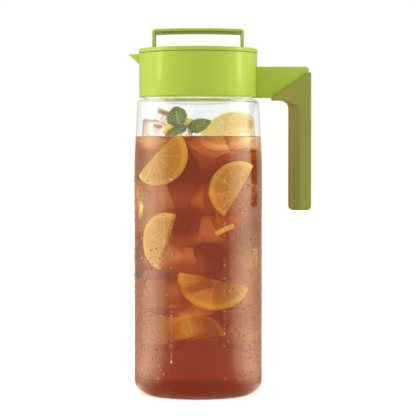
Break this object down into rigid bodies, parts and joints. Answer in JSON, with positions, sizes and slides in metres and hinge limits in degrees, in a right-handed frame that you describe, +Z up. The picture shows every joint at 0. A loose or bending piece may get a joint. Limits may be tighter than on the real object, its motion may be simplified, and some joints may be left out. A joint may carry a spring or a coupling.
{
  "type": "iced tea pitcher",
  "caption": "Clear tall pitcher with a green collar, pouring beak, square handle with a soft grip, and a plug lid with a strap that turns and lifts out.",
  "frame": {"origin": "centre of the jar's flat underside, where its axis meets the surface it stands on", "axes": "+Z up along the jar's axis, +X from the axis towards the handle, -X towards the spout"},
  "size_m": [0.1528, 0.1068, 0.305],
  "materials": {
    "clear_plastic": "clear, polished",
    "green_plastic": "satin gloss, moulded",
    "olive_silicone": "matte, soft",
    "clear_silicone": "matte, milky"
  },
  "bodies": {
    "pitcher": {"jar": "clear_plastic", "collar": "green_plastic", "collar_gasket": "clear_silicone", "grip_sleeve": "olive_silicone"},
    "seals": {"neck_seal": "clear_silicone", "cap_gasket": "clear_silicone"},
    "lid": {"lid_cap": "green_plastic", "lid_strap": "green_plastic", "lid_plug": "green_plastic"}
  },
  "joints": [
    {"name": "lid_lift", "type": "slide", "parent": "pitcher", "child": "seals", "axis": [0, 0, 1], "range_m": [0, 0.08]},
    {"name": "lid_turn", "type": "hinge", "parent": "seals", "child": "lid", "pos_m": [0, 0, 0.2854], "axis": [0, 0, 1], "range_deg": [0, 90]}
  ]
}
